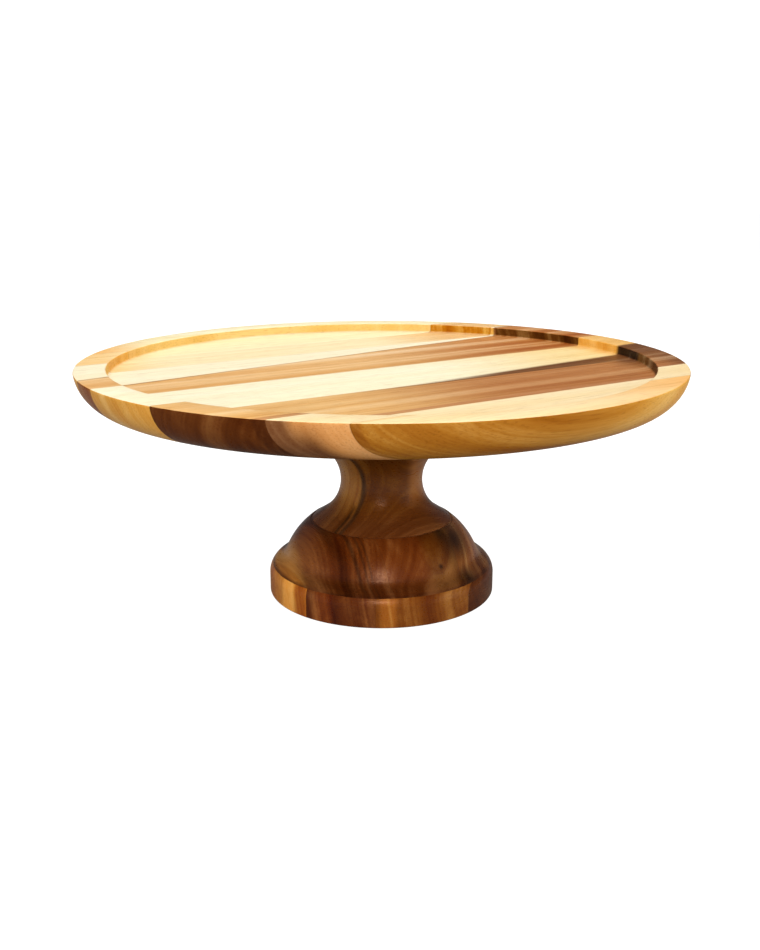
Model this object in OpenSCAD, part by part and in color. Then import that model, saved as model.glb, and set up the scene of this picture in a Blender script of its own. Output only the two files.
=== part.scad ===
// Wooden pedestal cake stand. A round plate, glued up from staves of mixed width and turned with a
// shallow recess, screws onto a pedestal that is stacked from four glued layers and turned as one:
// foot, bell, waisted neck and collar. +Z is up, and the origin is on the axis where the pads stand.
// The plate's staves run along X.

/* [Plate] */
// Radius of the plate at its top edge
plate_r = 152.5; // [140:0.5:170]
// Thickness of the plate at the rim
plate_h = 18.5; // [16:0.5:26]
// Radius of the curve that runs from the rim down to the underside
side_round = 20; // [19:0.5:40]
// Width of that curve, seen from below
side_w = 18.5; // [12:0.5:19]
// Width of the flat rim around the recess
rim_w = 15.5; // [8:0.5:25]
// Depth of the recess
recess_depth = 5; // [4.5:0.1:8]
// Bevel of the rim's inner and outer edges
rim_edge = 0.7; // [0.3:0.1:1.5]
// Fillet where the recess wall meets its floor
floor_fillet = 1.5; // [0.5:0.1:3]

/* [Staves] */
// Width of the golden front stave
stave_1_w = 32.5; // [20:0.5:45]
// Width of the narrow pale stave behind it
stave_2_w = 23; // [15:0.5:30]
// Width of the cream stave in front of the middle
stave_4_w = 48.5; // [40:0.5:55]
// Width of the orange stave in front of the back stave
stave_6_w = 32; // [20:0.5:45]
// Width of the cream back stave
stave_7_w = 58.5; // [45:0.5:70]

/* [Pedestal] */
// Radius of the foot
foot_r = 59.75; // [56:0.25:75]
// Height of the foot layer, up to its glue line
foot_h = 15; // [12:0.5:20]
// Height of the foot's upright wall, below its rounded shoulder
foot_wall_h = 10; // [6:0.5:14]
// Radius of the foot's rounded shoulder
shoulder_round = 8.25; // [5:0.25:10]
// Bevel of the foot's lower edge
foot_edge = 0.8; // [0.3:0.1:2]
// Height of the bell layer
bell_h = 23.5; // [18:0.5:32]
// Width of the shoulder that shows outside the bell
shoulder_w = 7.75; // [4:0.25:9]
// Radius of the hollow that runs from the shoulder into the bell
hollow_round = 8; // [4:0.25:12]
// Radius of the bell's swelling curve
bell_round = 39; // [30:0.5:90]
// Height of the neck block
neck_h = 43; // [36:0.5:54]
// Radius of the neck at its narrowest
waist_r = 21.5; // [16:0.25:28]
// Radius of the neck at its two ends
neck_end_r = 37; // [33:0.25:42]
// Angle of the straight flare at each end of the neck, from upright
flare_angle = 56.5; // [50:0.5:65]
// Step out from the neck to the layers above and below it
neck_step = 0.45; // [0.2:0.05:1]
// Bevel of the fine groove at the neck's two glue lines
groove_bevel = 0.6; // [0.3:0.05:1]
// Height of the collar under the plate
collar_h = 23.5; // [20:0.5:32]
// Radius of the collar under the plate
collar_r = 52; // [46:0.25:60]
// Height of the collar's upright edge
collar_edge_h = 3.25; // [2:0.25:6]
// Step out from the collar's curve to its upright edge
collar_step = 0.6; // [0.3:0.05:1.2]

/* [Glued strips of the pedestal] */
// Width of the two outer strips in the foot
foot_outer_w = 4.25; // [2:0.25:12]
// Direction of the strips in the foot, from X
foot_strip_angle = 35.5; // [0:0.5:180]
// Width of the middle strip in the bell
bell_strip_w = 40; // [30:0.5:50]
// Direction of the strips in the bell, from X
bell_strip_angle = 83.5; // [0:0.5:180]
// Width of the middle strip in the collar
collar_strip_w = 37; // [30:0.5:50]
// Direction of the strips in the collar, from X
collar_strip_angle = 130; // [0:0.5:180]

/* [Screw joint] */
// Diameter of the stud
stud_d = 8; // [6:0.5:10]
// Clearance between the stud and its threads, all round
stud_clearance = 0.05; // [0.01:0.01:0.1]
// Bevel at the stud's ends
stud_bevel = 0.8; // [0.2:0.1:1.5]
// Distance from the stud's ends to the far ends of the inserts
stud_end_gap = 1; // [0.5:0.5:3]
// Wall of the threaded inserts
insert_wall = 2; // [1.5:0.25:3]
// Length of the insert in the collar
collar_insert_len = 14; // [11:0.5:18]
// Wood left between the plate's insert and the recess
insert_cover = 2.5; // [2:0.25:4]
// Width of the inserts' flanges
flange_w = 3; // [2:0.25:5]
// Thickness of the inserts' flanges
flange_h = 1.6; // [1:0.1:2.5]
// Depth of the flanges below the wood around them
flange_sunk = 0.2; // [0.1:0.05:0.5]
// Glue gap around the inserts
insert_gap = 0.05; // [0.02:0.01:0.15]

/* [Foot pads] */
// Diameter of the foot pads
pad_d = 12; // [8:0.5:16]
// Thickness of the foot pads
pad_h = 1.2; // [0.8:0.1:3]
// Distance of the pads from the edge of the foot
pad_inset = 8.75; // [2:0.25:20]
// Number of foot pads
pad_count = 4; // [3:1:6]

/* [Hidden] */
$fn = 96;

// Curves that flow into each other cross by this much, so that each ends on the other
run_in = 0.01;

// Heights of the glue lines above the floor
foot_z = pad_h;
bell_z = foot_z + foot_h;
neck_z = bell_z + bell_h;
collar_z = neck_z + neck_h;
plate_z = collar_z + collar_h;

// The neck's hollow is an arc that ends where its slope is that of the flares
flare_run = tan(flare_angle);
cove_half_h = (neck_h / 2 * flare_run - neck_end_r + waist_r) / (flare_run - tan(flare_angle / 2));
cove_r = cove_half_h / sin(flare_angle);

// The recess
recess_r = plate_r - rim_w;

// Glue lines between the staves, from front to back. One lies on the axis, and the two brown staves,
// 3 and 5, take what the others leave. The outer boards run on beyond the rim, as they do before turning.
boards_end = 2 * plate_r;
line_12 = -plate_r + stave_1_w;
line_23 = line_12 + stave_2_w;
line_34 = -stave_4_w;
line_67 = plate_r - stave_7_w;
line_56 = line_67 - stave_6_w;
stave_lines = [-boards_end, line_12, line_23, line_34, 0, line_56, line_67, boards_end];
stave_count = len(stave_lines) - 1;

// The swelling layers' narrow ends, and the bell's wide end
narrow_r = neck_end_r + neck_step;
bell_r = foot_r - shoulder_w;
bell_start_h = foot_wall_h + shoulder_round;

// Glue lines between the strips of the round layers, with a strip on the axis
foot_strip_w = 2 / 3 * (foot_r - foot_outer_w);
foot_inner_lines = [for (k = [-1.5 : 1.5]) k * foot_strip_w];
foot_lines = concat([-boards_end], foot_inner_lines, [boards_end]);
bell_lines = [-boards_end, -bell_strip_w / 2, bell_strip_w / 2, boards_end];
collar_lines = [-boards_end, -collar_strip_w / 2, collar_strip_w / 2, boards_end];
foot_strips = len(foot_lines) - 1;
bell_strips = len(bell_lines) - 1;
collar_strips = len(collar_lines) - 1;

// Inserts and stud
insert_bore_d = stud_d + 2 * stud_clearance;
insert_d = insert_bore_d + 2 * insert_wall;
flange_d = insert_d + 2 * flange_w;
plate_insert_len = plate_h - recess_depth - insert_cover;
stud_up = plate_insert_len - stud_end_gap;
stud_down = collar_insert_len - stud_end_gap;

// Colours of the staves from front to back, and of the strips
stave_colours = ["#D9A95C", "#E9CC96", "#B57C4C", "#F6E6BE", "#BC8656", "#D89A48", "#F4E0B0"];
foot_colours = ["#5A3012", "#A86A30", "#6E3D18", "#B8803E", "#8A5524"];
bell_colours = ["#6A3A1A", "#7C4520", "#8A5426"];
neck_colour = "#6B3D1C";
collar_colours = ["#8A5426", "#74421E", "#8A5426"];
brass = "#B9974F";
steel = "#A8AAAD";
felt = "#3B342E";

// Name of a numbered node
function numbered(stem, i) = str(stem, "_", i + 1);
function numbered_all(stem, n) = [for (i = [0 : n - 1]) numbered(stem, i)];

// Centre of the circle of radius r through p and q that lies to the left on the way from p to q
function arc_centre(p, q, r) =
    let (d = q - p, half = norm(d) / 2, rise = sqrt(r ^ 2 - half ^ 2))
    (p + q) / 2 + [-d.y, d.x] / (2 * half) * rise;

// Centre of a circle that has its centre at distances ra from a and rb from b, on the right from a to b
function reach_centre(a, ra, b, rb) =
    let (d = b - a, far = norm(d), x = (ra ^ 2 - rb ^ 2 + far ^ 2) / (2 * far))
    a + d / far * x + [d.y, -d.x] / far * sqrt(ra ^ 2 - x ^ 2);

// What a bevel takes off a square corner at the origin
module corner_waste(w) {
    rotate(45) square(sqrt(2) * w, center = true);
}

// Half section of the plate, from its underside up
module plate_outline() {
    side = arc_centre([plate_r - side_w, 0], [plate_r, plate_h], side_round);
    difference() {
        intersection() {
            square([plate_r, plate_h]);
            union() {
                square([side.x, plate_h]);
                translate(side) circle(side_round);
            }
        }
        recess_outline();
        translate([recess_r, plate_h]) corner_waste(rim_edge);
        translate([plate_r, plate_h]) corner_waste(rim_edge);
    }
}

// Half section of the recess, with its filleted floor
module recess_outline() {
    floor_r = recess_r - floor_fillet;
    translate([0, plate_h - recess_depth]) {
        square([floor_r, 2 * recess_depth]);
        translate([0, floor_fillet]) square([recess_r, 2 * recess_depth]);
        translate([floor_r, floor_fillet]) circle(floor_fillet);
    }
}

// Half section of the foot and its shoulder
module foot_outline() {
    core_r = foot_r - shoulder_round;
    difference() {
        union() {
            square([foot_r, foot_wall_h]);
            square([core_r, foot_wall_h + shoulder_round]);
            translate([core_r, foot_wall_h]) circle(shoulder_round);
        }
        translate([foot_r, 0]) corner_waste(foot_edge);
    }
}

// Half section of a swelling layer, wide end down. A skirt carries its curve below the wide end.
module swell_outline(wide_r, h, skirt = 0) {
    centre = arc_centre([wide_r, 0], [narrow_r, h], bell_round);
    core_r = narrow_r / 2;
    difference() {
        intersection() {
            translate([0, -skirt]) square([boards_end, h + skirt]);
            union() {
                translate(centre) circle(bell_round);
                translate([0, -skirt]) square([core_r, h + skirt]);
            }
        }
        translate([narrow_r, h]) corner_waste(groove_bevel);
    }
}

// The bell's curve rises out of the shoulder and ends at the neck
module bell_outline() {
    swell_h = foot_h + bell_h - bell_start_h;
    translate([0, bell_start_h]) swell_outline(bell_r, swell_h, skirt = shoulder_round);
}

// The web that fills the corner between the shoulder and the bell, and leaves a hollow
module hollow_outline() {
    shoulder = [foot_r - shoulder_round, foot_wall_h];
    bell = arc_centre([bell_r, bell_start_h], [narrow_r, foot_h + bell_h], bell_round);
    reach = hollow_round - run_in;
    hollow = reach_centre(shoulder, shoulder_round + reach, bell, bell_round + reach);
    difference() {
        polygon([shoulder, hollow, bell]);
        translate(hollow) circle(hollow_round);
    }
}

// Half section of the neck: its hollow, with a straight flare and a fine bevel at each end
module neck_outline() {
    flare_h = neck_h / 2 - cove_half_h;
    low_r = neck_end_r + 2 * run_in;
    high_r = low_r - flare_h * flare_run;
    difference() {
        square([neck_end_r, neck_h]);
        translate([waist_r + cove_r, neck_h / 2]) circle(cove_r);
        for (end = [0, 1])
            translate([0, end * neck_h]) mirror([0, end]) {
                polygon([[low_r, 0], [boards_end, 0], [boards_end, flare_h], [high_r, flare_h]]);
                translate([neck_end_r, 0]) corner_waste(groove_bevel);
            }
    }
}

// Half section of the collar, from its narrow end up
module collar_outline() {
    swell_h = collar_h - collar_edge_h;
    translate([0, swell_h]) mirror([0, 1]) swell_outline(collar_r - collar_step, swell_h);
    difference() {
        translate([0, swell_h]) square([collar_r, collar_edge_h]);
        translate([collar_r, swell_h]) corner_waste(collar_step / 2);
    }
}

// The foot and the bell, turned as one, between two heights above the foot's underside
module lower_layers(low, high) {
    translate([0, 0, foot_z])
        rotate_extrude() intersection() {
            union() {
                foot_outline();
                hollow_outline();
                bell_outline();
            }
            translate([0, low]) square([boards_end, high - low]);
        }
}

// What lies in board i of a glued-up layer, whose boards run at an angle to X
module in_board(lines, i, angle = 0) {
    intersection() {
        children();
        rotate(angle)
            translate([-boards_end, lines[i], -boards_end])
                cube([2 * boards_end, lines[i + 1] - lines[i], 2 * boards_end]);
    }
}

// Pocket for an insert, opening downwards at the origin
module insert_pocket(len) {
    translate([0, 0, -flange_h]) cylinder(d = flange_d + 2 * insert_gap, h = 2 * flange_h + flange_sunk);
    cylinder(d = insert_d + 2 * insert_gap, h = len + insert_gap);
}

// Threaded insert with its flange, standing up from its mouth at the origin
module insert(len) {
    difference() {
        union() {
            translate([0, 0, flange_sunk]) cylinder(d = flange_d, h = flange_h);
            translate([0, 0, flange_sunk]) cylinder(d = insert_d, h = len - flange_sunk);
        }
        cylinder(d = insert_bore_d, h = 3 * len, center = true);
    }
}

module plate_stave(i) {
    color(stave_colours[i])
        translate([0, 0, plate_z])
            difference() {
                in_board(stave_lines, i) rotate_extrude() plate_outline();
                insert_pocket(plate_insert_len);
            }
}

module plate_insert() {
    color(brass) translate([0, 0, plate_z]) insert(plate_insert_len);
}

module stud() {
    length = stud_up + stud_down;
    stud_r = stud_d / 2;
    end_r = stud_r - stud_bevel;
    lower_end = [[0, 0], [end_r, 0], [stud_r, stud_bevel]];
    upper_end = [[stud_r, length - stud_bevel], [end_r, length], [0, length]];
    color(steel)
        translate([0, 0, plate_z - stud_down])
            rotate_extrude() polygon(concat(lower_end, upper_end));
}

module collar_insert() {
    color(brass) translate([0, 0, plate_z]) mirror([0, 0, 1]) insert(collar_insert_len);
}

module collar_strip(i) {
    color(collar_colours[i])
        difference() {
            in_board(collar_lines, i, collar_strip_angle)
                translate([0, 0, collar_z]) rotate_extrude() collar_outline();
            translate([0, 0, plate_z]) mirror([0, 0, 1]) insert_pocket(collar_insert_len);
        }
}

module neck_block() {
    color(neck_colour) translate([0, 0, neck_z]) rotate_extrude() neck_outline();
}

module bell_strip(i) {
    color(bell_colours[i])
        in_board(bell_lines, i, bell_strip_angle)
            lower_layers(foot_h, foot_h + bell_h);
}

module foot_strip(i) {
    color(foot_colours[i])
        in_board(foot_lines, i, foot_strip_angle)
            lower_layers(0, foot_h);
}

module foot_pad(i) {
    color(felt)
        rotate(360 / pad_count * (i + 0.5))
            translate([foot_r - pad_inset - pad_d / 2, 0, 0]) cylinder(d = pad_d, h = pad_h);
}

for (i = [0 : stave_count - 1])
    plate_stave(i);
plate_insert();
stud();
collar_insert();
for (i = [0 : collar_strips - 1])
    collar_strip(i);
neck_block();
for (i = [0 : bell_strips - 1])
    bell_strip(i);
for (i = [0 : foot_strips - 1])
    foot_strip(i);
for (i = [0 : pad_count - 1])
    foot_pad(i);
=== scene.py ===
"""Looks of a wooden pedestal cake stand: turned, glued-up acacia, its screw joint and its felt pads."""

import math

import bmesh
import bpy
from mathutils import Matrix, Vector


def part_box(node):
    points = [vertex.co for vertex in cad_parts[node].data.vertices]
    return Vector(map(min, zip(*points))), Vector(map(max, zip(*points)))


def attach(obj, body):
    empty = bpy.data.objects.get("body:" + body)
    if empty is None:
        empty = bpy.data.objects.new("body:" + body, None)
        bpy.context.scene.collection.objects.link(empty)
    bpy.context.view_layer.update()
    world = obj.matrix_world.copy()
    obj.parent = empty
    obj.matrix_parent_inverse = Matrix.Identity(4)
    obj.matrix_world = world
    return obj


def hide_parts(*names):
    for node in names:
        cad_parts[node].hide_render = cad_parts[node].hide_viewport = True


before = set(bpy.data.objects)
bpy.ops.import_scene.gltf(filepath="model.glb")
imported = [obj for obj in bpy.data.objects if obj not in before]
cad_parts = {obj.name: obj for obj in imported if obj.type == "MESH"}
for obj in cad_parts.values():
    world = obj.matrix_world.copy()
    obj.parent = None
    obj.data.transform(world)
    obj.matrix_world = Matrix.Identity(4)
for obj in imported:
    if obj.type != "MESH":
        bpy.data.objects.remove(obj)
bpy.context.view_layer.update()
MM = 0.001

# Sizes of the solids, in millimetres and degrees
PLATE_R = 152.5
SIDE_ROUND = 20.0
SIDE_W = 18.5
RIM_W = 15.5
RECESS_DEPTH = 5.0
FLOOR_FILLET = 1.5
FOOT_R = 59.75
FOOT_WALL_H = 10.0
SHOULDER_ROUND = 8.25
SHOULDER_W = 7.75
HOLLOW_ROUND = 8.0
BELL_ROUND = 39.0
WAIST_R = 21.5
NECK_END_R = 37.0
FLARE_ANGLE = 56.5
NARROW_R = 37.45
GROOVE = 0.6
COLLAR_R = 52.0
COLLAR_EDGE_H = 3.25
COLLAR_STEP = 0.6
STUD_R = 4.0
BORE_R = 4.05
INSERT_R = 6.05
FLANGE_R = 9.05
FLANGE_H = 1.6
FLANGE_SUNK = 0.2
GLUE_GAP = 0.05
PAD_R = 6.0
PAD_RING_R = 45.0
PAD_COUNT = 4
THREAD_PITCH = 1.25
THREAD_DEPTH = 0.7

# Where a thread's crest ends and its root starts, in pitches from the middle of the crest
THREAD_CREST, THREAD_ROOT = 0.06, 0.4

# Roundings that sanding and cutting leave on edges
RIM_EASE = 0.9
FOOT_EASE = 1.0
STEP_EASE = 0.3
FLANGE_EASE = 0.3
PAD_FOOT_EASE = 0.45
PAD_TOP_EASE = 0.2

# How many degrees before its lip a swelling side stops
LIP_ANGLE = 0.3

# Steps round the axis for wood, for threaded pieces and for pads
WOOD_STEPS, THREADED_STEPS, PAD_STEPS = 360, 48, 64

# Rows that carry one turn of a thread
ROWS_PER_TURN = 10

# Metres within which two points become one, and within which a point lies on a cut
WELD, GRAZE = 1e-6, 1e-7

# The bend from which an edge shows as sharp
SHARP_BEND = math.radians(30)

# Directions of the glued strips from X, and their glue lines, measured across from the axis
STAVE_ANGLE, STAVE_LINES = 0.0, (-120.0, -97.0, -48.5, 0.0, 62.0, 94.0)
FOOT_ANGLE, FOOT_LINES = 35.5, (-55.5, -18.5, 18.5, 55.5)
BELL_ANGLE, BELL_LINES = 83.5, (-20.0, 20.0)
COLLAR_ANGLE, COLLAR_LINES = 130.0, (-18.5, 18.5)
NECK_ANGLE = 7.5

# The photograph's camera: where it stands, how it looks down, its lens and sensor, and the nearest it sees
VIEW_AZIMUTH = math.radians(-33.5)
VIEW_DISTANCE = 542.0
VIEW_HEIGHT = 212.0
VIEW_ASIDE = -0.8
VIEW_PITCH = math.radians(15.40)
VIEW_LENS = 40.43
VIEW_SENSOR = 36
VIEW_NEAREST = 10


def level(node, top=False):
    """The height of a node's underside or top, in millimetres."""
    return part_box(node)[top].z / MM


FOOT_Z = level("foot_strip_3")
BELL_Z = level("bell_strip_2")
NECK_Z = level("neck_block")
COLLAR_Z = level("collar_strip_2")
PLATE_Z = level("plate_stave_4")
PLATE_TOP = level("plate_stave_4", top=True)
PLATE_INSERT_TOP = level("plate_insert", top=True)
COLLAR_INSERT_END = level("collar_insert")
STUD_Z = level("stud")
STUD_TOP = level("stud", top=True)
PAD_TOP = level("foot_pad_1", top=True)
RECESS_R = PLATE_R - RIM_W
FLOOR_Z = PLATE_TOP - RECESS_DEPTH


# Half sections, as points of radius and height in millimetres

def arc(centre, r, start, end, steps):
    """Points of an arc from one angle to another, in degrees."""
    angles = [math.radians(start + (end - start) * i / steps) for i in range(steps + 1)]
    return [(centre[0] + r * math.cos(a), centre[1] + r * math.sin(a)) for a in angles]


def arc_centre(p, q, r):
    """Centre of the arc of radius r from p to q, to the left on the way."""
    p, q = Vector(p), Vector(q)
    half = (q - p) / 2
    rise = math.sqrt(r * r - half.length_squared)
    return p + half + Vector((-half.y, half.x)).normalized() * rise


def bearing(centre, p):
    """Angle at which p lies from a centre, in degrees."""
    return math.degrees(math.atan2(p[1] - centre[1], p[0] - centre[0]))


def arc_between(p, q, r, steps):
    """Points of the arc of radius r from p to q, with its centre to the left on the way."""
    centre = arc_centre(p, q, r)
    start = bearing(centre, p)
    return arc(centre, r, start, start + (bearing(centre, q) - start) % 360, steps)


def eased(before, corner, after, reach, steps=4):
    """Points that round a corner off, starting and ending at a distance from it."""
    before, corner, after = Vector(before), Vector(corner), Vector(after)
    start = corner + (before - corner).normalized() * reach
    end = corner + (after - corner).normalized() * reach
    shares = [i / steps for i in range(steps + 1)]
    return [tuple(start * (1 - t) ** 2 + corner * 2 * t * (1 - t) + end * t ** 2) for t in shares]


def insert_pocket(mouth, way, end):
    """The pocket of an insert from its mouth to the axis, going up or down."""
    body_r, flange_r = INSERT_R + GLUE_GAP, FLANGE_R + GLUE_GAP
    ledge = mouth + way * (FLANGE_SUNK + FLANGE_H)
    bottom = end + way * GLUE_GAP
    return [(flange_r, mouth), (flange_r, ledge), (body_r, ledge), (body_r, bottom), (0, bottom)]


def plate_section():
    """The plate: a curved side, a flat rim and a recess, with the insert's pocket below."""
    under = (PLATE_R - SIDE_W, PLATE_Z)
    side = arc_between(under, (PLATE_R, PLATE_TOP), SIDE_ROUND, steps=28)
    side = [p for p in side if p[1] < PLATE_TOP - RIM_EASE]
    outer, inner = (PLATE_R, PLATE_TOP), (RECESS_R, PLATE_TOP)
    fillet = (RECESS_R - FLOOR_FILLET, FLOOR_Z + FLOOR_FILLET)
    section = insert_pocket(PLATE_Z, 1, PLATE_INSERT_TOP)[::-1]
    section += side
    section += eased(side[-1], outer, inner, RIM_EASE)
    section += eased(outer, inner, (RECESS_R, FLOOR_Z), RIM_EASE)
    section += arc(fillet, FLOOR_FILLET, 0, -90, steps=6)
    return section + [(0, FLOOR_Z)]


# The shoulder's round runs over two layers: from the foot's wall, past the glue line, to the bell's hollow
SHOULDER = Vector((FOOT_R - SHOULDER_ROUND, FOOT_Z + FOOT_WALL_H))
BELL_START = FOOT_Z + FOOT_WALL_H + SHOULDER_ROUND
GLUE_LINE = math.degrees(math.asin((BELL_Z - SHOULDER.y) / SHOULDER_ROUND))


def foot_section():
    """The foot: an upright wall, and the shoulder up to the glue line."""
    lower = eased((0, FOOT_Z), (FOOT_R, FOOT_Z), (FOOT_R, BELL_Z), FOOT_EASE)
    shoulder = arc(SHOULDER, SHOULDER_ROUND, 0, GLUE_LINE, steps=8)
    return [(0, FOOT_Z)] + lower + shoulder + [(0, BELL_Z)]


def swell(centre, start, top):
    """A swelling side from an angle to its narrow end, which a fine groove parts from the neck."""
    bottom = Vector((NARROW_R, top - GROOVE))
    out = Vector((1, 1))
    along = (bottom - centre).dot(out) / 2
    run = -along + math.sqrt(along ** 2 + (BELL_ROUND ** 2 - (bottom - centre).length_squared) / 2)
    lip = bottom + out * run
    inner = (NARROW_R - GROOVE, top)
    side = arc(centre, BELL_ROUND, start, bearing(centre, lip) - LIP_ANGLE, steps=24)
    side += eased(side[-1], lip, bottom, STEP_EASE / 2, steps=2)
    side += eased(lip, bottom, inner, STEP_EASE / 2, steps=2)
    return side + [inner]


def bell_section():
    """The bell: the shoulder's end, a tight hollow and the swelling side, each flowing into the next."""
    bell = arc_centre((FOOT_R - SHOULDER_W, BELL_START), (NARROW_R, NECK_Z), BELL_ROUND)
    to_bell = bell - SHOULDER
    far = to_bell.length
    near_reach, far_reach = SHOULDER_ROUND + HOLLOW_ROUND, BELL_ROUND + HOLLOW_ROUND
    x = (near_reach ** 2 - far_reach ** 2 + far ** 2) / (2 * far)
    aside = Vector((to_bell.y, -to_bell.x)) / far
    hollow = SHOULDER + to_bell / far * x + aside * math.sqrt(near_reach ** 2 - x ** 2)
    low, high = bearing(SHOULDER, hollow), bearing(bell, hollow)
    section = [(0, BELL_Z)]
    section += arc(SHOULDER, SHOULDER_ROUND, GLUE_LINE, low, steps=8)[:-1]
    section += arc(hollow, HOLLOW_ROUND, low + 180, high + 180, steps=10)
    section += swell(bell, high, NECK_Z)[1:]
    return section + [(0, NECK_Z)]


def neck_section():
    """The neck: a cove between two straight flares, the same above and below, with eased ends."""
    run = math.tan(math.radians(FLARE_ANGLE))
    half_h = (COLLAR_Z - NECK_Z) / 2
    cove_half_h = half_h * run - NECK_END_R + WAIST_R
    cove_half_h /= run - math.tan(math.radians(FLARE_ANGLE / 2))
    cove_r = cove_half_h / math.sin(math.radians(FLARE_ANGLE))
    cove = arc((WAIST_R + cove_r, half_h), cove_r, 180 + FLARE_ANGLE, 180 - FLARE_ANGLE, steps=44)
    bevel = GROOVE / (run + 1)
    foot, lip = (NECK_END_R - GROOVE, 0), (NECK_END_R - run * bevel, bevel)
    low = [foot] + eased(foot, lip, cove[0], STEP_EASE / 2, steps=3)
    high = [(r, 2 * half_h - z) for r, z in low[::-1]]
    return [(0, NECK_Z)] + [(r, NECK_Z + z) for r, z in low + cove + high] + [(0, COLLAR_Z)]


def collar_section():
    """The collar: a swelling side upside down, the edge under the plate, and the insert's pocket."""
    edge_z = PLATE_Z - COLLAR_EDGE_H
    wide = (COLLAR_R - COLLAR_STEP, 0)
    swell_h = edge_z - COLLAR_Z
    centre = arc_centre(wide, (NARROW_R, swell_h), BELL_ROUND)
    curve = swell(centre, bearing(centre, wide), swell_h)
    curve = [(r, edge_z - z) for r, z in curve[::-1]]
    corner = (COLLAR_R, edge_z)
    edge = eased(curve[-1], corner, (COLLAR_R, PLATE_Z), COLLAR_STEP / 2, steps=2)
    rim = eased(corner, (COLLAR_R, PLATE_Z), (0, PLATE_Z), STEP_EASE, steps=3)
    pocket = insert_pocket(PLATE_Z, -1, COLLAR_INSERT_END)
    return [(0, COLLAR_Z)] + curve + edge + rim + pocket


def thread_rows(low, high):
    """Heights close enough together to carry a thread."""
    rows = math.ceil((high - low) / THREAD_PITCH * ROWS_PER_TURN)
    return [low + (high - low) * i / rows for i in range(rows + 1)]


def stud_section():
    """The stud's section, with the thread's depth at each point: none on its bevelled ends."""
    end_r = STUD_R - THREAD_DEPTH
    rows = [(STUD_R, z) for z in thread_rows(STUD_Z + THREAD_DEPTH, STUD_TOP - THREAD_DEPTH)]
    section = [(0, STUD_Z), (end_r, STUD_Z)] + rows + [(end_r, STUD_TOP), (0, STUD_TOP)]
    return section, [0, 0] + [-THREAD_DEPTH] * len(rows) + [0, 0]


def insert_section(mouth, way, end):
    """An insert's closed section, with the thread's depth at each point of its bore."""
    face = mouth + way * FLANGE_SUNK
    ledge = face + way * FLANGE_H
    lead = THREAD_DEPTH
    bore = [(BORE_R, z) for z in thread_rows(min(face, end) + lead, max(face, end) - lead)]
    if way > 0:
        bore = bore[::-1]
    front = eased((0, face), (FLANGE_R, face), (FLANGE_R, ledge), FLANGE_EASE, steps=2)
    back = eased((FLANGE_R, face), (FLANGE_R, ledge), (INSERT_R, ledge), FLANGE_EASE, steps=2)
    outside = front + back + [(INSERT_R, ledge), (INSERT_R, end), (BORE_R + lead, end)]
    section = [(BORE_R + lead, face)] + outside + bore
    depths = [0] * (1 + len(outside)) + [THREAD_DEPTH] * len(bore)
    return section + section[:1], depths + depths[:1]


def pad_section():
    """A felt pad: flat below where it stands, soft at its edge."""
    low = eased((0, 0), (PAD_R, 0), (PAD_R, PAD_TOP), PAD_FOOT_EASE)
    high = eased((PAD_R, 0), (PAD_R, PAD_TOP), (0, PAD_TOP), PAD_TOP_EASE)
    return [(0, 0)] + low + high + [(0, PAD_TOP)]


# Nodes for geometry and for materials

def add(tree, kind, inputs=None, **settings):
    """Adds a node with its settings. An input is a value, or the node or socket that it is linked to."""
    node = tree.nodes.new(kind)
    for name, value in settings.items():
        setattr(node, name, value)
    for key, value in (inputs or {}).items():
        named = (s for s in node.inputs if s.enabled and s.name == key)
        socket = node.inputs[key] if isinstance(key, int) else next(named)
        if isinstance(value, bpy.types.Node):
            value = next(s for s in value.outputs if s.enabled)
        if isinstance(value, bpy.types.NodeSocket):
            tree.links.new(value, socket)
        else:
            socket.default_value = value
    return node


def start_tree(name, inputs):
    """A Geometry Nodes tree with named inputs after its geometry, and the node that gives them."""
    tree = bpy.data.node_groups.new(name, "GeometryNodeTree")
    tree.interface.new_socket("Geometry", in_out="INPUT", socket_type="NodeSocketGeometry")
    for label, kind in inputs:
        tree.interface.new_socket(label, in_out="INPUT", socket_type="NodeSocket" + kind)
    tree.interface.new_socket("Geometry", in_out="OUTPUT", socket_type="NodeSocketGeometry")
    return tree, add(tree, "NodeGroupInput").outputs


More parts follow.
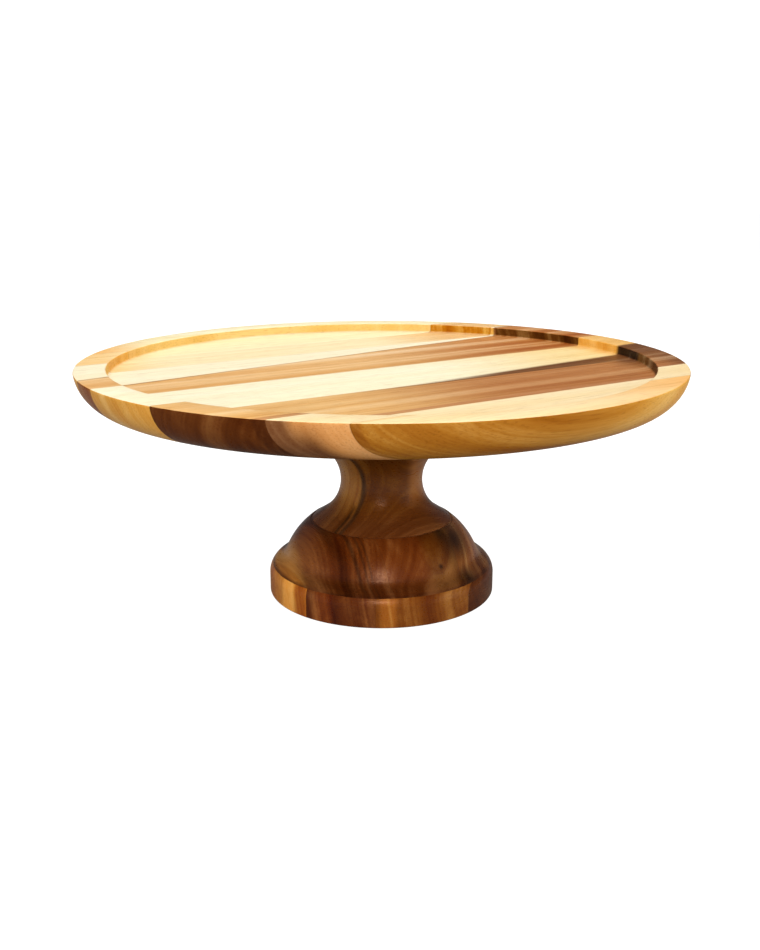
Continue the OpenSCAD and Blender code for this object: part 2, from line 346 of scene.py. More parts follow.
def turning_tree():
    """Turns a half section round the upright axis, with a thread where the section says so."""
    inputs = (("Steps round", "Int"), ("Pitch", "Float"), ("Material", "Material"))
    tree, given = start_tree("turned_on_a_lathe", inputs)
    section, steps = given["Geometry"], given["Steps round"]
    count = add(tree, "GeometryNodeAttributeDomainSize", {"Geometry": section}).outputs["Point Count"]
    columns = add(tree, "ShaderNodeMath", {0: steps, 1: 1.0}, operation="ADD")
    grid = add(tree, "GeometryNodeMeshGrid", {"Vertices X": columns, "Vertices Y": count})
    index = add(tree, "GeometryNodeInputIndex")
    row = add(tree, "ShaderNodeMath", {0: index, 1: count}, operation="MODULO")
    column = add(tree, "ShaderNodeMath", {0: index, 1: count}, operation="DIVIDE")
    column = add(tree, "ShaderNodeMath", {0: column}, operation="FLOOR")
    turn = add(tree, "ShaderNodeMath", {0: column, 1: steps}, operation="DIVIDE")
    point = add(tree, "GeometryNodeInputPosition")
    place = add(tree, "GeometryNodeSampleIndex", {"Geometry": section, "Value": point, "Index": row},
                data_type="FLOAT_VECTOR")
    depth = add(tree, "GeometryNodeInputNamedAttribute", {"Name": "thread_depth"}, data_type="FLOAT")
    depth = add(tree, "GeometryNodeSampleIndex", {"Geometry": section, "Value": depth, "Index": row},
                data_type="FLOAT")
    spot = add(tree, "ShaderNodeSeparateXYZ", {"Vector": place}).outputs
    along = add(tree, "ShaderNodeMath", {0: spot["Z"], 1: given["Pitch"]}, operation="DIVIDE")
    phase = add(tree, "ShaderNodeMath", {0: along, 1: turn}, operation="SUBTRACT")
    phase = add(tree, "ShaderNodeMath", {0: phase}, operation="FRACT")
    ridge = add(tree, "ShaderNodeMath", {0: phase, 1: 0.5}, operation="PINGPONG")
    groove = add(tree, "ShaderNodeMapRange", {
        "Value": ridge, "From Min": THREAD_CREST, "From Max": THREAD_ROOT})
    radius = add(tree, "ShaderNodeMath", {0: groove, 1: depth, 2: spot["X"]}, operation="MULTIPLY_ADD")
    angle = add(tree, "ShaderNodeMath", {0: turn, 1: 2 * math.pi}, operation="MULTIPLY")
    aside = add(tree, "ShaderNodeMath", {0: angle}, operation="COSINE")
    ahead = add(tree, "ShaderNodeMath", {0: angle}, operation="SINE")
    x = add(tree, "ShaderNodeMath", {0: radius, 1: aside}, operation="MULTIPLY")
    y = add(tree, "ShaderNodeMath", {0: radius, 1: ahead}, operation="MULTIPLY")
    wrapped = add(tree, "ShaderNodeCombineXYZ", {"X": x, "Y": y, "Z": spot["Z"]})
    moved = add(tree, "GeometryNodeSetPosition", {"Geometry": grid, "Position": wrapped})
    closed = add(tree, "GeometryNodeMergeByDistance", {"Geometry": moved, "Distance": WELD})
    real = add(tree, "GeometryNodeRealizeInstances", {"Geometry": closed})
    dressed = add(tree, "GeometryNodeSetMaterial", {"Geometry": real, "Material": given["Material"]})
    add(tree, "NodeGroupOutput", {"Geometry": dressed})
    return tree


def set_inputs(modifier, **values):
    """Sets a Geometry Nodes modifier's inputs by their names, with underscores for spaces."""
    for item in modifier.node_group.interface.items_tree:
        key = item.name.replace(" ", "_").lower()
        if item.in_out == "INPUT" and key in values:
            modifier[item.identifier] = values[key]


def baked(mesh, tree, **values):
    """The mesh that a Geometry Nodes tree makes of a mesh."""
    holder = bpy.data.objects.new("holder", mesh)
    bpy.context.scene.collection.objects.link(holder)
    modifier = holder.modifiers.new("tree", "NODES")
    modifier.node_group = tree
    set_inputs(modifier, **values)
    graph = bpy.context.evaluated_depsgraph_get()
    result = bpy.data.meshes.new_from_object(holder.evaluated_get(graph))
    bpy.data.objects.remove(holder)
    return result


TURNING = turning_tree()


def turned(section, material, depths=None, steps=WOOD_STEPS):
    """The closed mesh that a section in millimetres gives on the lathe."""
    blank = bpy.data.meshes.new("section")
    edges = [(i, i + 1) for i in range(len(section) - 1)]
    blank.from_pydata([(r * MM, 0, z * MM) for r, z in section], edges, [])
    thread = blank.attributes.new("thread_depth", "FLOAT", "POINT")
    thread.data.foreach_set("value", [d * MM for d in depths or [0] * len(section)])
    return baked(blank, TURNING, steps_round=steps, pitch=THREAD_PITCH * MM, material=material)


def cut_to_board(mesh, lines, i, angle):
    """Board i of a glued-up layer: what lies between two of the glue lines, which run at an angle to X."""
    turn = math.radians(angle)
    across = Vector((-math.sin(turn), math.cos(turn), 0))
    cuts = [(lines[i - 1], -across)] if i > 0 else []
    cuts += [(lines[i], across)] if i < len(lines) else []
    form = bmesh.new()
    form.from_mesh(mesh)
    for offset, outward in cuts:
        everything = form.verts[:] + form.edges[:] + form.faces[:]
        bmesh.ops.bisect_plane(form, geom=everything, dist=GRAZE, plane_co=across * offset * MM,
                               plane_no=outward, clear_outer=True)
        rim = [edge for edge in form.edges if edge.is_boundary]
        bmesh.ops.holes_fill(form, edges=rim, sides=0)
    board = mesh.copy()
    form.to_mesh(board)
    form.free()
    return board


# The pedestal's own pieces, for the light that reaches them alone
PEDESTAL = bpy.data.collections.new("pedestal")


def piece(name, mesh, body, nodes):
    """A finished piece that stands for CAD nodes and rides on a body."""
    form = bmesh.new()
    form.from_mesh(mesh)
    bmesh.ops.recalc_face_normals(form, faces=form.faces)
    form.to_mesh(mesh)
    form.free()
    mesh.name = name
    mesh.shade_smooth()
    mesh.set_sharp_from_angle(angle=SHARP_BEND)
    made = bpy.data.objects.new(name, mesh)
    bpy.context.scene.collection.objects.link(made)
    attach(made, body)
    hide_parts(*nodes)
    if body == "pedestal":
        PEDESTAL.objects.link(made)


# Materials

# Where most of a noise's values lie, and about how far they stray from its middle
NOISE_LOW, NOISE_MIDDLE, NOISE_HIGH = 0.3, 0.5, 0.7
NOISE_STRAY = 0.25

# Acacia's figure, in millimetres along a board, across it and through it. Real fibres are about 0.02 mm
# thick and real pores 0.2 mm, which is too fine to show, so both are drawn coarser.
BEND_SIZE = (240, 70, 70)
STREAK_SIZE = (110, 6, 10)
FIBRE_SIZE = (45, 0.8, 0.8)
PORE_SIZE = (9, 0.5, 0.5)

# How much each part of the figure weighs in the wood's tone, and the sums that give its palest and darkest
FINE_BANDS_PER_BAND = 7
BAND_WEIGHT = 0.5
FINE_BAND_WEIGHT = 0.12
STREAK_WEIGHT = 0.25
FIBRE_WEIGHT = 0.13
TONE_LOW, TONE_HIGH = 0.36, 0.64

# How far apart in the figure, in growth bands, boards with neighbouring seeds start
SEED_STEP = 10

# How far a surface faces up where the colour of a board's side ends and that of its top begins
SIDE_FACING, TOP_FACING = 0.35, 0.95

# Open pores: where in their noise they start and are full, how dark they get, and their tint
PORE_START, PORE_FULL = 0.6, 0.72
PORE_SHARE = 0.2
PORE_TINT = "#8A6038"

# A knot: how far it is drawn out along the board, and in its own sizes how far the bands swirl round it,
# how far they are lifted, and how far its stain reaches
KNOT_STRETCH = 1.6
KNOT_SWIRL = 5.0
KNOT_RISE = 1.5
KNOT_STAIN = 1.5

# A glue line: half its width and its soft edge in millimetres, and how dark it gets
GLUE_HALF = 0.15
GLUE_SOFT = 0.2
GLUE_SHARE = 0.35

# Oiled wood's gloss. The plate is sanded matt and the pedestal is polished.
WOOD_IOR = 1.5
OILED_SMOOTH, OILED_ROUGH = 0.25, 0.37
PLATE_POLISH = 0.04
PEDESTAL_POLISH = 0.35
GRAIN_BUMP = 0.2
GRAIN_DEPTH = 0.2

# How far the grain strays from straight, in millimetres, and a line so far out that it marks a whole board
WANDER = 2.5
FAR_OUT = -1000.0

# The stain of knots, glue and dark streaks
DARK = "#2A170A"

# Marks of the tool on metal, in millimetres across and along the axis, and what they do to its roughness.
# Real ones are about 0.05 mm apart, so these are drawn coarser.
TOOL_MARK_SIZE = (2.5, 2.5, 1 / 6)
TOOL_MARK_SPREAD = 0.07

# Felt's tufts in millimetres, drawn coarser than its real fibres of 0.02 mm; their shades, and their relief
TUFT_SIZE = 0.4
TUFT_DARK, TUFT_PALE = 0.6, 1.4
TUFT_BUMP = 0.8
TUFT_DEPTH = 0.3
FELT_ROUGHNESS = 0.95
FELT_SHEEN = 0.4


def linear(code):
    """The linear colour of an sRGB hex code."""
    shares = [int(code[i:i + 2], 16) / 255 for i in (1, 3, 5)]
    return (*[s / 12.92 if s <= 0.04045 else ((s + 0.055) / 1.055) ** 2.4 for s in shares], 1)


def start_material(name):
    """A material, and its empty tree of nodes."""
    material = bpy.data.materials.new(name)
    material.use_nodes = True
    material.node_tree.nodes.clear()
    return material, material.node_tree


def end_material(tree, surface):
    """Ends a material's tree in the shader that has these inputs."""
    shader = add(tree, "ShaderNodeBsdfPrincipled", surface)
    add(tree, "ShaderNodeOutputMaterial", {"Surface": shader})


def per_unit(sizes, unit=1.0):
    """How many cells of these sizes there are to a unit of length, along each axis."""
    return tuple(1 / (size * unit) for size in sizes)


def shades(tree, tone, code, contrast):
    """A wood's colours over its growth bands: a band that holds more colour is darker and redder."""
    node = add(tree, "ShaderNodeValToRGB", {"Fac": tone})
    stops = node.color_ramp.elements
    stops.new(0.5)
    for stop, step in zip(stops, (-1, 0, 1)):
        stop.color = [c ** (1 + contrast * step) for c in linear(code)]
    return node


def wood_colour(tree, tone, facing, top, side, contrast):
    """A wood's shades: those of a board's top, and the deeper ones where turning cuts across it."""
    on_top, on_side = contrast
    face = shades(tree, tone, top, on_top)
    flank = shades(tree, tone, side, on_side)
    return add(tree, "ShaderNodeMix", {"Factor": facing, "A": flank, "B": face}, data_type="RGBA")


def mark_share(tree, place, line=FAR_OUT, slope=0.0, half=0.0, soft=1.0, fade=None):
    """How far a mark shows: a streak of a half width about a slanting line, or all that lies beyond the
    line. It can fade in along an axis, from one place to another."""
    middle = add(tree, "ShaderNodeMath", {0: place["X"], 1: slope, 2: line}, operation="MULTIPLY_ADD")
    off = add(tree, "ShaderNodeMath", {0: place["Y"], 1: middle}, operation="SUBTRACT")
    if half:
        off = add(tree, "ShaderNodeMath", {0: off}, operation="ABSOLUTE")
        off = add(tree, "ShaderNodeMath", {0: half, 1: off}, operation="SUBTRACT")
    share = add(tree, "ShaderNodeMapRange", {"Value": off, "From Min": -soft, "From Max": soft},
                interpolation_type="SMOOTHSTEP")
    if fade:
        axis, start, end = fade
        faded = add(tree, "ShaderNodeMapRange", {"Value": place[axis], "From Min": start, "From Max": end},
                    interpolation_type="SMOOTHSTEP")
        share = add(tree, "ShaderNodeMath", {0: share, 1: faded}, operation="MULTIPLY")
    return share


def knot_share(tree, bent, middle, reach):
    """How near a knot is, from 0 at its reach to 1 at its middle. It is drawn out along the board."""
    off = add(tree, "ShaderNodeVectorMath", {0: bent, 1: middle}, operation="SUBTRACT")
    off = add(tree, "ShaderNodeVectorMath", {0: off, 1: (1 / KNOT_STRETCH, 1, 1)}, operation="MULTIPLY")
    off = add(tree, "ShaderNodeVectorMath", {0: off}, operation="LENGTH")
    return add(tree, "ShaderNodeMapRange", {"Value": off, "From Min": reach, "From Max": 0.0},
               interpolation_type="SMOOTHSTEP")


def along_board(tree, spot, angle, seed, wander):
    """Millimetres along a board, across it and up from the table: straight, and bent slowly as grain is."""
    straight = add(tree, "ShaderNodeMapping", {
        "Vector": spot, "Rotation": (0, 0, -math.radians(angle)), "Scale": per_unit((1, 1, 1), MM)})
    bend = add(tree, "ShaderNodeVectorMath", {0: straight, 1: per_unit(BEND_SIZE)}, operation="MULTIPLY")
    bend = add(tree, "ShaderNodeTexNoise", {"Vector": bend, "W": seed, "Scale": 1.0, "Detail": 2.0},
               noise_dimensions="4D").outputs["Color"]
    bend = add(tree, "ShaderNodeVectorMath", {0: bend, 1: (NOISE_MIDDLE,) * 3}, operation="SUBTRACT")
    reach = wander / NOISE_STRAY
    bent = add(tree, "ShaderNodeVectorMath", {0: bend, 1: (0, reach, reach), 2: straight},
               operation="MULTIPLY_ADD")
    return straight, bent


def growth(tree, bent, seed, ring, pith, knots):
    """A board's tone, from growth bands about its pith, streaks and fibres; and its fibres alone."""
    depth = add(tree, "ShaderNodeVectorMath", {0: bent, 1: (0, *pith)}, operation="SUBTRACT")
    depth = add(tree, "ShaderNodeVectorMath", {0: depth, 1: (0, 1, 1)}, operation="MULTIPLY")
    depth = add(tree, "ShaderNodeVectorMath", {0: depth}, operation="LENGTH")
    for middle, size in knots:
        near = knot_share(tree, bent, middle, KNOT_SWIRL * size)
        depth = add(tree, "ShaderNodeMath", {0: near, 1: KNOT_RISE * size, 2: depth},
                    operation="MULTIPLY_ADD")
    tone = 0.0
    fine = ring / FINE_BANDS_PER_BAND
    for width, detail, weight in ((ring, 3.0, BAND_WEIGHT), (fine, 1.0, FINE_BAND_WEIGHT)):
        across = add(tree, "ShaderNodeMath", {0: depth, 1: 1 / width, 2: SEED_STEP * seed},
                     operation="MULTIPLY_ADD")
        bands = add(tree, "ShaderNodeTexNoise", {"W": across, "Scale": 1.0, "Detail": detail},
                    noise_dimensions="1D")
        tone = add(tree, "ShaderNodeMath", {0: bands, 1: weight, 2: tone}, operation="MULTIPLY_ADD")
    for size, detail, weight in ((STREAK_SIZE, 3.0, STREAK_WEIGHT), (FIBRE_SIZE, 2.0, FIBRE_WEIGHT)):
        cells = add(tree, "ShaderNodeVectorMath", {0: bent, 1: per_unit(size)}, operation="MULTIPLY")
        fibres = add(tree, "ShaderNodeTexNoise", {
            "Vector": cells, "W": seed, "Scale": 1.0, "Detail": detail}, noise_dimensions="4D")
        tone = add(tree, "ShaderNodeMath", {0: fibres, 1: weight, 2: tone}, operation="MULTIPLY_ADD")
    tone = add(tree, "ShaderNodeMapRange", {"Value": tone, "From Min": TONE_LOW, "From Max": TONE_HIGH})
    return tone, fibres


def acacia(name, angle, seed, ring, pith, top, side, contrast, wander=WANDER, polish=PLATE_POLISH,
           marks=(), knots=(), joints=()):
    """Acacia, turned, sanded and oiled. It gives the eye growth bands about a pith, long fibres and open
    pores along the board, a deeper colour on its cut sides and a soft gleam. Contrast is that of the bands
    on the top and on the side. Lengths are in millimetres."""
    material, tree = start_material(name)
    spot = add(tree, "ShaderNodeTexCoord").outputs
    straight, bent = along_board(tree, spot["Object"], angle, seed, wander)
    tone, fibres = growth(tree, bent, seed, ring, pith, knots)
    facing = add(tree, "ShaderNodeSeparateXYZ", {"Vector": spot["Normal"]}).outputs["Z"]
    facing = add(tree, "ShaderNodeMapRange", {
        "Value": facing, "From Min": SIDE_FACING, "From Max": TOP_FACING}, interpolation_type="SMOOTHSTEP")
    colour = wood_colour(tree, tone, facing, top, side, contrast)
    place = add(tree, "ShaderNodeSeparateXYZ", {"Vector": bent}).outputs
    for mark in marks:
        on_side = mark.get("side", mark["top"])
        wood = wood_colour(tree, tone, facing, mark["top"], on_side, mark.get("contrast", contrast))
        share = mark_share(tree, place, **mark["where"])
        share = add(tree, "ShaderNodeMath", {0: share, 1: mark.get("strength", 1.0)}, operation="MULTIPLY")
        colour = add(tree, "ShaderNodeMix", {"Factor": share, "A": colour, "B": wood}, data_type="RGBA")
    for middle, size in knots:
        share = knot_share(tree, bent, middle, KNOT_STAIN * size)
        colour = add(tree, "ShaderNodeMix", {"Factor": share, "A": colour, "B": linear(DARK)},
                     data_type="RGBA")
    cells = add(tree, "ShaderNodeVectorMath", {0: bent, 1: per_unit(PORE_SIZE)}, operation="MULTIPLY")
    pores = add(tree, "ShaderNodeTexNoise", {"Vector": cells, "Scale": 1.0, "Detail": 0.0})
    pores = add(tree, "ShaderNodeMapRange", {
        "Value": pores, "From Min": PORE_START, "From Max": PORE_FULL, "To Max": PORE_SHARE},
        interpolation_type="SMOOTHSTEP")
    colour = add(tree, "ShaderNodeMix", {"Factor": pores, "A": colour, "B": linear(PORE_TINT)},
                 data_type="RGBA", blend_type="MULTIPLY")
    place = add(tree, "ShaderNodeSeparateXYZ", {"Vector": straight}).outputs
    for line in joints:
        share = mark_share(tree, place, line, half=GLUE_HALF, soft=GLUE_SOFT)
        share = add(tree, "ShaderNodeMath", {0: share, 1: GLUE_SHARE}, operation="MULTIPLY")
        colour = add(tree, "ShaderNodeMix", {"Factor": share, "A": colour, "B": linear(DARK)},
                     data_type="RGBA")
    height = add(tree, "ShaderNodeMath", {0: fibres, 1: pores}, operation="SUBTRACT")
    bump = add(tree, "ShaderNodeBump", {
        "Height": height, "Strength": GRAIN_BUMP, "Distance": GRAIN_DEPTH * MM})
    rough = add(tree, "ShaderNodeMapRange", {
        "Value": fibres, "From Min": NOISE_LOW, "From Max": NOISE_HIGH,
        "To Min": OILED_SMOOTH, "To Max": OILED_ROUGH})
    end_material(tree, {
        "Base Color": colour, "Roughness": rough, "Normal": bump, "IOR": WOOD_IOR,
        "Specular IOR Level": polish})
    return material


def metal(name, code, roughness):
    """Turned or rolled metal: a satin gleam that the marks of the tool draw out in fine rings."""
    material, tree = start_material(name)
    spot = add(tree, "ShaderNodeTexCoord").outputs["Object"]
    cells = add(tree, "ShaderNodeVectorMath", {0: spot, 1: per_unit(TOOL_MARK_SIZE, MM)},
                operation="MULTIPLY")
    marks = add(tree, "ShaderNodeTexNoise", {"Vector": cells, "Scale": 1.0, "Detail": 2.0})
    rough = add(tree, "ShaderNodeMapRange", {
        "Value": marks, "From Min": NOISE_LOW, "From Max": NOISE_HIGH,
        "To Min": roughness - TOOL_MARK_SPREAD, "To Max": roughness + TOOL_MARK_SPREAD})
    end_material(tree, {"Base Color": linear(code), "Metallic": 1.0, "Roughness": rough})
    return material


def felt(name, code):
    """Pressed felt: matt and mottled, with fibres matted in many directions and a little sheen."""
    material, tree = start_material(name)
    spot = add(tree, "ShaderNodeTexCoord").outputs["Object"]
    tufts = add(tree, "ShaderNodeTexNoise", {"Vector": spot, "Scale": 1 / (TUFT_SIZE * MM), "Detail": 4.0})
    shade = add(tree, "ShaderNodeMapRange", {
        "Value": tufts, "From Min": NOISE_LOW, "From Max": NOISE_HIGH,
        "To Min": TUFT_DARK, "To Max": TUFT_PALE})
    colour = add(tree, "ShaderNodeMix", {"Factor": 1.0, "A": linear(code), "B": shade},
                 data_type="RGBA", blend_type="MULTIPLY")
    bump = add(tree, "ShaderNodeBump", {
        "Height": tufts, "Strength": TUFT_BUMP, "Distance": TUFT_DEPTH * MM})
    end_material(tree, {
        "Base Color": colour, "Roughness": FELT_ROUGHNESS, "Normal": bump, "Sheen Weight": FELT_SHEEN})
    return material


# The woods. Marks are streaks and changes of colour on single boards; a few are painted shade or light,
# as said where they stand. Their lines lie across the board, in millimetres from the axis. X runs along the
# board from the axis, and Z up from the table. A mark with no colour for the side has that of the top
# there.

STAVES = (
    ("golden_stave", dict(
        seed=1.0, ring=9, pith=(-480, 300), top="#E6D0A2", side="#9A6A24", contrast=(0.15, 0.28), marks=[
            dict(where=dict(fade=("X", -30, 110)), top="#E1AE68", side="#EBBD5B"),
            dict(where=dict(line=-118.9, half=1.9, soft=0.5), top="#DCC290", side="#89591D")])),
    ("pale_stave", dict(
        seed=2.0, ring=10, pith=(-420, 180), top="#E2CFA4", side="#C3935D", contrast=(0.12, 0.2), marks=[
            dict(where=dict(line=-105, soft=2.5), top="#E2CFA4", side="#674328"),
            dict(where=dict(line=-112, soft=4, fade=("Z", 126, 112)), top="#E2CFA4", side="#674328"),
            # Painted shade: at the board's right end its sides, the recess wall most, are painted dark
            # olive where less light falls
            dict(where=dict(fade=("X", 80, 120)), top="#E6D0A0", side="#6B4A20")])),
    ("brown_stave", dict(
        seed=3.0, ring=16, pith=(-300, 20), top="#D2AA70", side="#552E10", contrast=(0.3, 0.25), marks=[
            dict(where=dict(fade=("X", -80, 30)), top="#A77040", side="#482811"),
            dict(where=dict(line=-94, half=2.2, soft=0.8), top="#A8734A", side="#3E1E0A", strength=0.7),
            dict(where=dict(line=-49.5, half=1.2, soft=1.0, fade=("X", -70, 40)), top="#4A2C14",
                 strength=0.8),
            dict(where=dict(fade=("X", 100, 126)), top="#7A4E2A", side="#6E4C22", contrast=(0.45, 0.6)),
            dict(where=dict(line=-59, soft=2, fade=("X", 112, 124)), top="#6E4628", side="#22120A",
                 contrast=(0.45, 0.45))])),
    ("cream_stave", dict(
        seed=4.0, ring=14, pith=(260, 30), top="#E8E2C4", side="#CA9B49", contrast=(0.16, 0.3), marks=[
            dict(where=dict(fade=("X", 5, 120)), top="#E3C98E", side="#D8A44C"),
            dict(where=dict(fade=("X", 121, 136)), top="#DAA657", side="#D8A44C", strength=0.75),
            dict(where=dict(line=-58.2, slope=0.087, half=10, soft=2, fade=("X", -40, 50)), top="#6E4626",
                 side="#2E1A0C", contrast=(0.2, 0.3))])),
    ("brown_stave", dict(
        seed=5.0, ring=16, pith=(300, 10), top="#D8B07A", side="#8C582A", contrast=(0.38, 0.3), marks=[
            dict(where=dict(fade=("X", -20, 110)), top="#B27740", side="#5C370F", contrast=(0.5, 0.4)),
            dict(where=dict(line=43.4, slope=0.133, half=0.7, soft=0.6), top="#8A5E36", strength=0.8),
            dict(where=dict(line=44.0, slope=0.133, soft=0.7), top="#E8E0C2", side="#D8A850",
                 contrast=(0.12, 0.2))])),
    ("orange_stave", dict(
        seed=6.0, ring=10, pith=(340, 90), top="#E8D8AE", side="#E0B058", contrast=(0.18, 0.2), marks=[
            dict(where=dict(fade=("X", -80, -125)), top="#E6C286", side="#D8A048"),
            dict(where=dict(fade=("X", 40, 100)), top="#D8B078", side="#B77916", contrast=(0.2, 0.5))])),
    ("cream_stave", dict(
        seed=7.0, ring=14, pith=(420, 60), top="#EADEB4", side="#E2C176", contrast=(0.2, 0.2), marks=[
            dict(where=dict(fade=("X", -70, -125)), top="#E4AB5B", side="#D8A048")])),
)

FOOT_STRIPS = (
    dict(top="#522906"),
    dict(top="#734211", marks=[
        dict(where=dict(line=-25, half=3.5, soft=1.5), top="#965D1F"),
        dict(where=dict(line=-33, half=2.0, soft=2.5), top="#74410F", contrast=(0.4, 0.4))]),
    dict(top="#562809", marks=[dict(where=dict(line=8, half=5, soft=2), top="#6E3711")]),
    dict(top="#B67628", marks=[
        dict(where=dict(line=31.5, half=4.5, soft=1.5), top="#E0A248"),
        dict(where=dict(line=22, half=3.5, soft=1.5), top="#A0601E")]),
    dict(top="#A0602A"))

# On the bell: dark smudges and a small knot, by middle and size; the painted shade that darkens its hollow;
# and the dark of its seam
SMUDGES = [((-36, -24, 35), 12.0), ((-35, -16, 39), 4.0), ((-52, -25, 17.5), 6.5)]
SMALL_KNOT = ((-48.5, -9.4, 26.6), 1.5)
# Painted shade: the bell is painted darker down into its hollow, where the plate above shades it
PAINTED_HOLLOW_SHADE = dict(where=dict(fade=("Z", 25, 19)), top="#3E200C", strength=0.6)
SEAM = dict(where=dict(fade=("Z", BELL_Z + 1.5, BELL_Z)), top="#3A1A08", strength=0.7)
BELL_STRIPS = (
    dict(top="#875525", knots=SMUDGES, marks=[PAINTED_HOLLOW_SHADE, SEAM]),
    dict(top="#653411", knots=SMUDGES + [SMALL_KNOT], marks=[
        dict(where=dict(line=-12, half=10, soft=4), top="#5B320C"), PAINTED_HOLLOW_SHADE, SEAM]),
    dict(top="#5B2C0C", marks=[
        dict(where=dict(line=37, half=2.0, soft=2.0), top="#44200A", strength=0.6),
        dict(where=dict(line=31.5, half=0.8, soft=0.6), top="#341808", strength=0.8),
        dict(where=dict(line=28.5, half=0.5, soft=0.4), top="#341808", strength=0.7),
        dict(where=dict(line=26.5, half=0.4, soft=0.4), top="#341808", strength=0.7), PAINTED_HOLLOW_SHADE,
        # Painted light: the strip's outer edge, on the bell's left side, is painted a lit gold
        dict(where=dict(line=49.6, slope=-0.205, soft=3), top="#9E6A2A"), SEAM]))
COLLAR_STRIPS = (dict(top="#8A5426"), dict(top="#7A4620"), dict(top="#8A5426"))
STRIP_CONTRAST = (0.32, 0.32)
NECK = dict(
    seed=41.0, ring=10, pith=(-220, 30), top="#5E3409", side="#5E3409", contrast=(0.25, 0.25), wander=1.2,
    polish=PEDESTAL_POLISH, marks=[
        dict(where=dict(fade=("Z", 54, 42)), top="#5D3416"),
        dict(where=dict(line=-38, slope=1.151, half=15, soft=4, fade=("Z", 48, 58)), top="#8F5D28"),
        dict(where=dict(line=-9.2, soft=1.0, fade=("Z", 42, 58)), top="#8F6126"),
        dict(where=dict(line=-6.0, half=0.9, soft=0.7, fade=("Z", 54, 46)), top=DARK, strength=0.85),
        dict(where=dict(line=-9.2, half=1.2, soft=0.9), top=DARK, strength=0.85)])


# Pieces

def joints_of(lines, i):
    """The glue lines on either side of board i."""
    return [lines[k] for k in (i - 1, i) if 0 <= k < len(lines)]


def glued_layer(stem, body, section, lines, angle, boards):
    """A glued-up layer: turned as one, then parted into its boards, each of its own wood."""
    whole = turned(section, None)
    for i, (slot, look) in enumerate(boards):
        node = f"{stem}_{i + 1}"
        wood = acacia(f"oiled_acacia_{node}", angle, joints=joints_of(lines, i), **look)
        board = cut_to_board(whole, lines, i, angle)
        board.materials.clear()
        board.materials.append(wood)
        piece(node + "_wood", board, body, [node])


def strips(slot, looks, seed, ring, pith):
    """The strips of a layer of the pedestal, cut from one kind of board."""
    shared = dict(ring=ring, pith=pith, polish=PEDESTAL_POLISH, contrast=STRIP_CONTRAST)
    boards = []
    for i, look in enumerate(looks):
        boards.append((slot, {"seed": seed + i, "side": look["top"], **shared, **look}))
    return boards


def wooden_pieces():
    """The plate's staves, and the pedestal's layers from the foot to the collar, with the neck."""
    foot = strips("foot_wood", FOOT_STRIPS, seed=11.0, ring=9, pith=(300, -40))
    bell = strips("pedestal_wood", BELL_STRIPS, seed=21.0, ring=10, pith=(-260, -40))
    collar = strips("pedestal_wood", COLLAR_STRIPS, seed=31.0, ring=9, pith=(280, 40))
    glued_layer("plate_stave", "plate", plate_section(), STAVE_LINES, STAVE_ANGLE, STAVES)
    glued_layer("foot_strip", "pedestal", foot_section(), FOOT_LINES, FOOT_ANGLE, foot)
    glued_layer("bell_strip", "pedestal", bell_section(), BELL_LINES, BELL_ANGLE, bell)
    glued_layer("collar_strip", "pedestal", collar_section(), COLLAR_LINES, COLLAR_ANGLE, collar)
    neck_wood = acacia("oiled_acacia_neck_block", NECK_ANGLE, **NECK)
    neck = turned(neck_section(), neck_wood)
    piece("neck_block_wood", neck, "pedestal", ["neck_block"])


def screw_joint():
    """The threaded stud, and the inserts that it joins."""
    steel = metal("rolled_zinc_plated_steel", "#B4B6BA", roughness=0.32)
    brass = metal("turned_brass", "#C9A55A", roughness=0.28)
    section, depths = stud_section()
    stud = turned(section, steel, depths, THREADED_STEPS)
    piece("threaded_stud", stud, "stud", ["stud"])
    section, depths = insert_section(PLATE_Z, 1, PLATE_INSERT_TOP)
    insert = turned(section, brass, depths, THREADED_STEPS)
    piece("plate_threaded_insert", insert, "plate", ["plate_insert"])
    section, depths = insert_section(PLATE_Z, -1, COLLAR_INSERT_END)
    insert = turned(section, brass, depths, THREADED_STEPS)
    piece("collar_threaded_insert", insert, "pedestal", ["collar_insert"])


def felt_pads():
    """The pads under the foot, evenly round a ring."""
    wool = felt("pressed_wool_felt", "#3B342E")
    for i in range(PAD_COUNT):
        pad = turned(pad_section(), wool, steps=PAD_STEPS)
        turn = 2 * math.pi * (i + 0.5) / PAD_COUNT
        shift = Vector((math.cos(turn), math.sin(turn), 0)) * PAD_RING_R * MM
        for vertex in pad.vertices:
            vertex.co += shift
        piece(f"foot_pad_{i + 1}_felt", pad, "pedestal", [f"foot_pad_{i + 1}"])


wooden_pieces()
screw_joint()
felt_pads()


# Stage, light and camera, in metres

AHEAD = Vector((-math.sin(VIEW_AZIMUTH), math.cos(VIEW_AZIMUTH), 0))
RIGHT = Vector((AHEAD.y, -AHEAD.x, 0))
UP = Vector((0, 0, 1))

WHITE = "#FFFFFF"
WARM = "#FFEAD4"
AMBER = "#FFC49A"

# A wide floor just under the pads. The floor and the room glow less as lights than they do to the camera.
FLOOR_R = 8.0
FLOOR_SIDES = 96
FLOOR_DROP = 0.1 * MM
FLOOR_GREY = "#898989"
FLOOR_ROUGHNESS = 0.9
FLOOR_GLOW = {"To Min": 0.05, "To Max": 1.0}
ROOM_GLOW = {"To Min": 0.1, "To Max": 1.1}

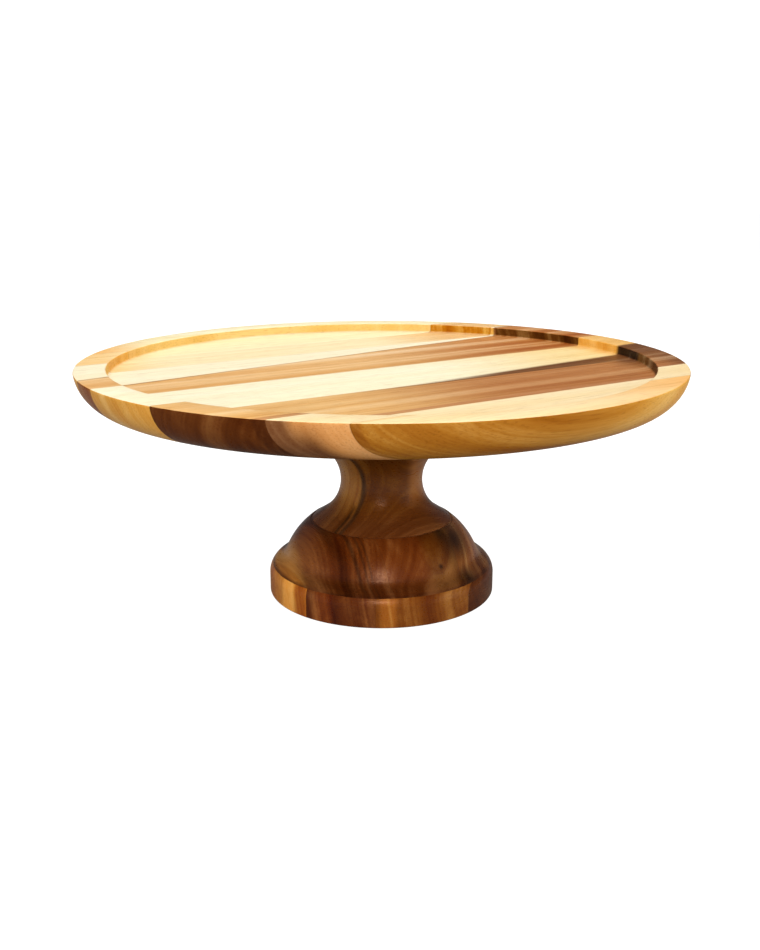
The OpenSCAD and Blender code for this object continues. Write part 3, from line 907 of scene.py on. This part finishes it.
# Softboxes: metres to the right of the axis, ahead of it and up, as the camera sees them; then width and
# height, watts and colour. They light the stand without glare. The glint gives gloss alone, and it reaches
# the pedestal alone.
SOFTBOXES = (
    ("overhead_softbox", (-0.15, 0.25, 1.3), (1.6, 1.6), 18.3, WHITE),
    ("back_softbox", (0.3, 0.9, 0.75), (0.7, 0.7), 5, WHITE),
    ("left_softbox", (-0.85, -0.3, 0.14), (0.5, 0.5), 2.5, WARM),
    ("right_softbox", (0.85, -0.3, 0.14), (0.5, 0.5), 4, WARM),
    ("front_softbox", (0.0, -0.80, 0.40), (0.25, 0.45), 6.5, WARM))
GLINT = ("front_glint", (0.0, -0.80, 0.44), (0.12, 0.22), 1.9, AMBER)
LIT_HEIGHT = 0.08


def softbox(name, place, size, power, code):
    """An oval softbox that faces the stand."""
    light = bpy.data.lights.new(name, "AREA")
    light.shape = "ELLIPSE"
    light.size, light.size_y = size
    light.energy = power
    light.color = linear(code)[:3]
    lamp = bpy.data.objects.new(name, light)
    right, ahead, up = place
    lamp.location = RIGHT * right + AHEAD * ahead + UP * up
    lamp.rotation_euler = (UP * LIT_HEIGHT - lamp.location).to_track_quat("-Z", "Y").to_euler()
    bpy.context.scene.collection.objects.link(lamp)
    return lamp


def floor():
    """The plain floor, matt and without gloss."""
    material, tree = start_material("white_floor")
    seen = add(tree, "ShaderNodeLightPath").outputs["Is Camera Ray"]
    glow = add(tree, "ShaderNodeMapRange", {"Value": seen, **FLOOR_GLOW})
    end_material(tree, {
        "Base Color": linear(FLOOR_GREY), "Roughness": FLOOR_ROUGHNESS,
        "Specular IOR Level": 0.0, "Emission Color": linear(WHITE), "Emission Strength": glow})
    form = bmesh.new()
    bmesh.ops.create_circle(form, cap_ends=True, segments=FLOOR_SIDES, radius=FLOOR_R)
    bmesh.ops.translate(form, verts=form.verts, vec=-UP * FLOOR_DROP)
    mesh = bpy.data.meshes.new("floor")
    form.to_mesh(mesh)
    form.free()
    mesh.materials.append(material)
    made = bpy.data.objects.new("floor", mesh)
    bpy.context.scene.collection.objects.link(made)


def room():
    """The white room round the stand."""
    world = bpy.data.worlds.new("white_room")
    world.use_nodes = True
    tree = world.node_tree
    background = tree.nodes["Background"]
    seen = add(tree, "ShaderNodeLightPath").outputs["Is Camera Ray"]
    glow = add(tree, "ShaderNodeMapRange", {"Value": seen, **ROOM_GLOW})
    tree.links.new(glow.outputs[0], background.inputs["Strength"])
    background.inputs["Color"].default_value = linear(WHITE)
    bpy.context.scene.world = world


def lights():
    """The softboxes, and the glint on the pedestal."""
    for row in SOFTBOXES:
        softbox(*row).visible_glossy = False
    glint = softbox(*GLINT)
    glint.visible_diffuse = False
    glint.light_linking.receiver_collection = PEDESTAL


def camera():
    """The camera that sees the stand as the photograph does."""
    lens = bpy.data.cameras.new("camera")
    lens.lens = VIEW_LENS
    lens.sensor_width = VIEW_SENSOR
    lens.clip_start = VIEW_NEAREST * MM
    eye = bpy.data.objects.new("camera", lens)
    eye.location = (RIGHT * VIEW_ASIDE - AHEAD * VIEW_DISTANCE + UP * VIEW_HEIGHT) * MM
    look = AHEAD * math.cos(VIEW_PITCH) - UP * math.sin(VIEW_PITCH)
    eye.rotation_euler = look.to_track_quat("-Z", "Y").to_euler()
    bpy.context.scene.collection.objects.link(eye)
    bpy.context.scene.camera = eye


floor()
room()
lights()
camera()

# Colours are shown as they are, without a film's curve
bpy.context.scene.view_settings.view_transform = "Standard"
